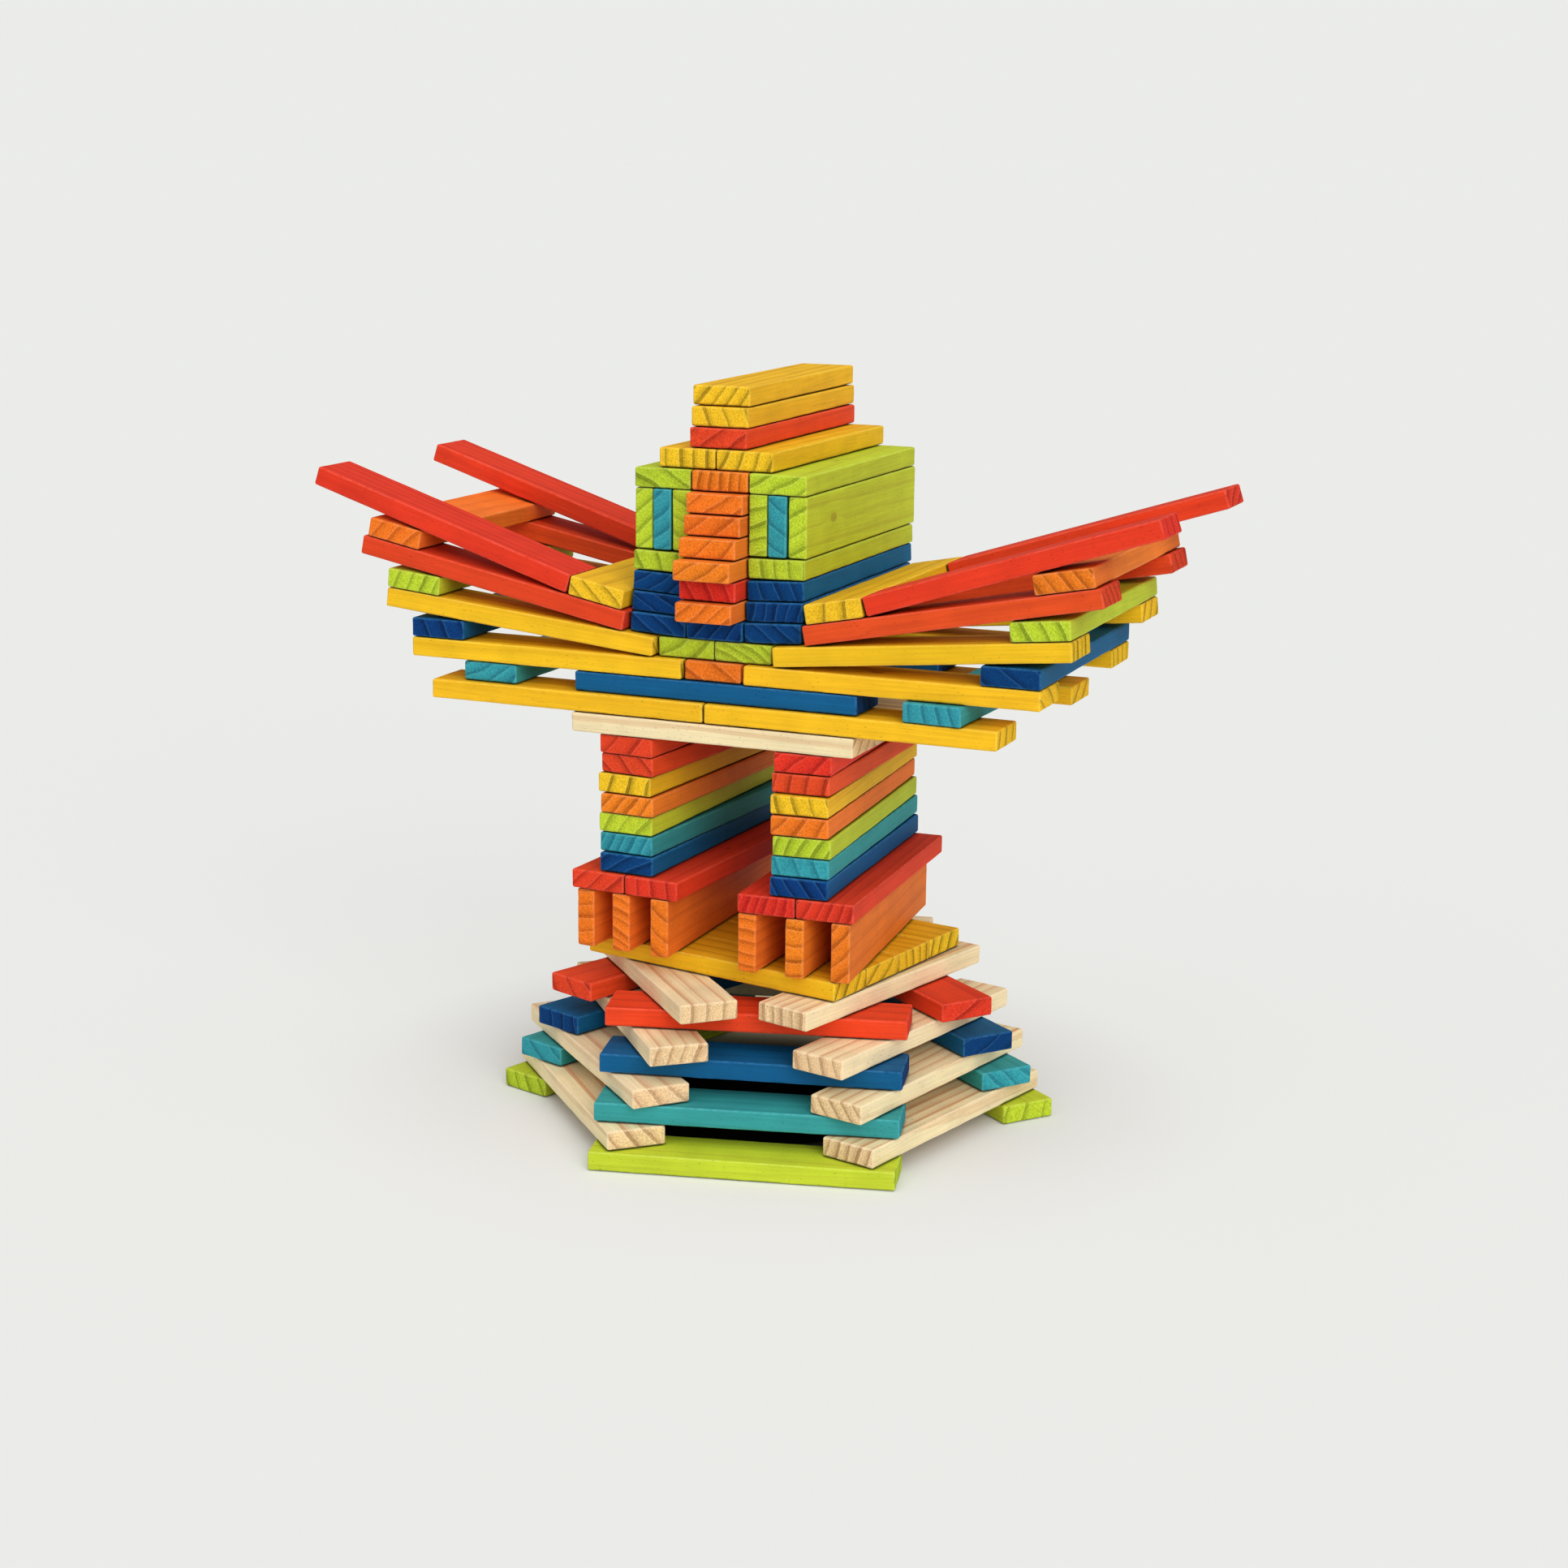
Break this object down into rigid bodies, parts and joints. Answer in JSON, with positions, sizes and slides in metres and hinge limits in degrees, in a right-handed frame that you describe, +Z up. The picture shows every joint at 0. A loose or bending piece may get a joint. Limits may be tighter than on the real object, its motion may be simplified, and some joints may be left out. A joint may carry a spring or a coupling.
{
  "type": "stacked plank owl",
  "caption": "Owl figure with raised wings, stacked from loose stained pine planks on a six-sided log-cabin base.",
  "frame": {"origin": "middle of the footprint box, on the floor", "axes": "+Z up, -Y the owl's front, +X towards the wing on the right seen from the front"},
  "size_m": [0.355, 0.2156, 0.2972],
  "materials": {
    "red_stain": "satin",
    "orange_stain": "satin",
    "yellow_stain": "satin",
    "lime_stain": "satin",
    "teal_stain": "satin",
    "blue_stain": "satin",
    "bare_pine": "bare sanded"
  },
  "bodies": {
    "base": {"base_lime": "lime_stain", "base_natural_1": "bare_pine", "base_teal": "teal_stain", "base_natural_2": "bare_pine", "base_blue": "blue_stain", "base_natural_3": "bare_pine", "base_red": "red_stain", "base_natural_4": "bare_pine"},
    "platform": {"platform": "yellow_stain"},
    "feet": {"left_toes": "orange_stain", "right_toes": "orange_stain", "left_foot": "red_stain", "right_foot": "red_stain"},
    "legs": {"leg_blue": "blue_stain", "leg_teal": "teal_stain", "leg_lime": "lime_stain", "leg_orange": "orange_stain", "leg_yellow": "yellow_stain", "leg_red": "red_stain"},
    "deck": {"deck": "bare_pine"},
    "row_one": {"left_row_1": "yellow_stain", "right_row_1": "yellow_stain"},
    "ties": {"tie_blue": "blue_stain", "left_spacer_teal": "teal_stain", "right_spacer_teal": "teal_stain"},
    "row_two": {"left_row_2": "yellow_stain", "right_row_2": "yellow_stain", "keel_orange": "orange_stain"},
    "keel": {"keel_lime": "lime_stain", "left_spacer_blue": "blue_stain", "right_spacer_blue": "blue_stain"},
    "row_three": {"left_row_3": "yellow_stain", "right_row_3": "yellow_stain", "left_spacer_lime": "lime_stain", "right_spacer_lime": "lime_stain"},
    "left_row_four": {"left_row_4": "red_stain", "left_spacer_yellow": "yellow_stain"},
    "right_row_four": {"right_row_4": "red_stain", "right_spacer_yellow": "yellow_stain"},
    "left_orange": {"left_spacer_orange": "orange_stain"},
    "right_orange": {"right_spacer_orange": "orange_stain"},
    "left_row_five": {"left_row_5": "red_stain"},
    "right_row_five": {"right_row_5": "red_stain"},
    "breast": {"breast_blue": "blue_stain"},
    "muzzle": {"muzzle_blue": "blue_stain"},
    "lower_beak": {"lower_beak": "orange_stain"},
    "face": {"face_blue": "blue_stain", "face_red": "red_stain"},
    "cheeks": {"cheeks": "lime_stain"},
    "upper_beak": {"upper_beak": "orange_stain"},
    "brow": {"eye_limes": "lime_stain", "brow_orange": "orange_stain"},
    "left_eye": {"left_eye": "teal_stain"},
    "right_eye": {"right_eye": "teal_stain"},
    "crown": {"crown_lime": "lime_stain", "crown_orange": "orange_stain"},
    "hat_brim": {"hat_brim": "yellow_stain"},
    "hat_band": {"hat_band": "red_stain"},
    "hat_crown": {"hat_crown": "yellow_stain"},
    "hat_top": {"hat_top": "yellow_stain"}
  },
  "joints": [
    {"name": "platform_lift", "type": "slide", "parent": "base", "child": "platform", "axis": [0, 0, 1], "range_m": [0, 0.03]},
    {"name": "feet_lift", "type": "slide", "parent": "platform", "child": "feet", "axis": [0, 0, 1], "range_m": [0, 0.03]},
    {"name": "legs_lift", "type": "slide", "parent": "feet", "child": "legs", "axis": [0, 0, 1], "range_m": [0, 0.03]},
    {"name": "deck_lift", "type": "slide", "parent": "legs", "child": "deck", "axis": [0, 0, 1], "range_m": [0, 0.03]},
    {"name": "row_one_lift", "type": "slide", "parent": "deck", "child": "row_one", "axis": [0, 0, 1], "range_m": [0, 0.03]},
    {"name": "ties_lift", "type": "slide", "parent": "row_one", "child": "ties", "axis": [0, 0, 1], "range_m": [0, 0.03]},
    {"name": "row_two_lift", "type": "slide", "parent": "ties", "child": "row_two", "axis": [0, 0, 1], "range_m": [0, 0.03]},
    {"name": "keel_lift", "type": "slide", "parent": "row_two", "child": "keel", "axis": [0, 0, 1], "range_m": [0, 0.03]},
    {"name": "row_three_lift", "type": "slide", "parent": "keel", "child": "row_three", "axis": [0, 0, 1], "range_m": [0, 0.03]},
    {"name": "left_row_four_lift", "type": "slide", "parent": "row_three", "child": "left_row_four", "axis": [0, 0, 1], "range_m": [0, 0.03]},
    {"name": "right_row_four_lift", "type": "slide", "parent": "row_three", "child": "right_row_four", "axis": [0, 0, 1], "range_m": [0, 0.03]},
    {"name": "left_orange_lift", "type": "slide", "parent": "left_row_four", "child": "left_orange", "axis": [0, 0, 1], "range_m": [0, 0.03]},
    {"name": "right_orange_lift", "type": "slide", "parent": "right_row_four", "child": "right_orange", "axis": [0, 0, 1], "range_m": [0, 0.03]},
    {"name": "left_row_five_lift", "type": "slide", "parent": "left_orange", "child": "left_row_five", "axis": [0, 0, 1], "range_m": [0, 0.03]},
    {"name": "right_row_five_lift", "type": "slide", "parent": "right_orange", "child": "right_row_five", "axis": [0, 0, 1], "range_m": [0, 0.03]},
    {"name": "breast_lift", "type": "slide", "parent": "row_three", "child": "breast", "axis": [0, 0, 1], "range_m": [0, 0.03]},
    {"name": "muzzle_lift", "type": "slide", "parent": "breast", "child": "muzzle", "axis": [0, 0, 1], "range_m": [0, 0.03]},
    {"name": "face_lift", "type": "slide", "parent": "muzzle", "child": "face", "axis": [0, 0, 1], "range_m": [0, 0.03]},
    {"name": "cheeks_lift", "type": "slide", "parent": "face", "child": "cheeks", "axis": [0, 0, 1], "range_m": [0, 0.03]},
    {"name": "brow_lift", "type": "slide", "parent": "cheeks", "child": "brow", "axis": [0, 0, 1], "range_m": [0, 0.03]},
    {"name": "crown_lift", "type": "slide", "parent": "brow", "child": "crown", "axis": [0, 0, 1], "range_m": [0, 0.03]},
    {"name": "hat_brim_lift", "type": "slide", "parent": "crown", "child": "hat_brim", "axis": [0, 0, 1], "range_m": [0, 0.03]},
    {"name": "hat_band_lift", "type": "slide", "parent": "hat_brim", "child": "hat_band", "axis": [0, 0, 1], "range_m": [0, 0.03]},
    {"name": "hat_crown_lift", "type": "slide", "parent": "hat_band", "child": "hat_crown", "axis": [0, 0, 1], "range_m": [0, 0.03]},
    {"name": "hat_top_lift", "type": "slide", "parent": "hat_crown", "child": "hat_top", "axis": [0, 0, 1], "range_m": [0, 0.03]},
    {"name": "lower_beak_pull", "type": "slide", "parent": "muzzle", "child": "lower_beak", "axis": [0, -1, 0], "range_m": [0, 0.125]},
    {"name": "upper_beak_pull", "type": "slide", "parent": "cheeks", "child": "upper_beak", "axis": [0, -1, 0], "range_m": [0, 0.125]},
    {"name": "left_eye_pull", "type": "slide", "parent": "brow", "child": "left_eye", "axis": [0, -1, 0], "range_m": [0, 0.125]},
    {"name": "right_eye_pull", "type": "slide", "parent": "brow", "child": "right_eye", "axis": [0, -1, 0], "range_m": [0, 0.125]}
  ]
}
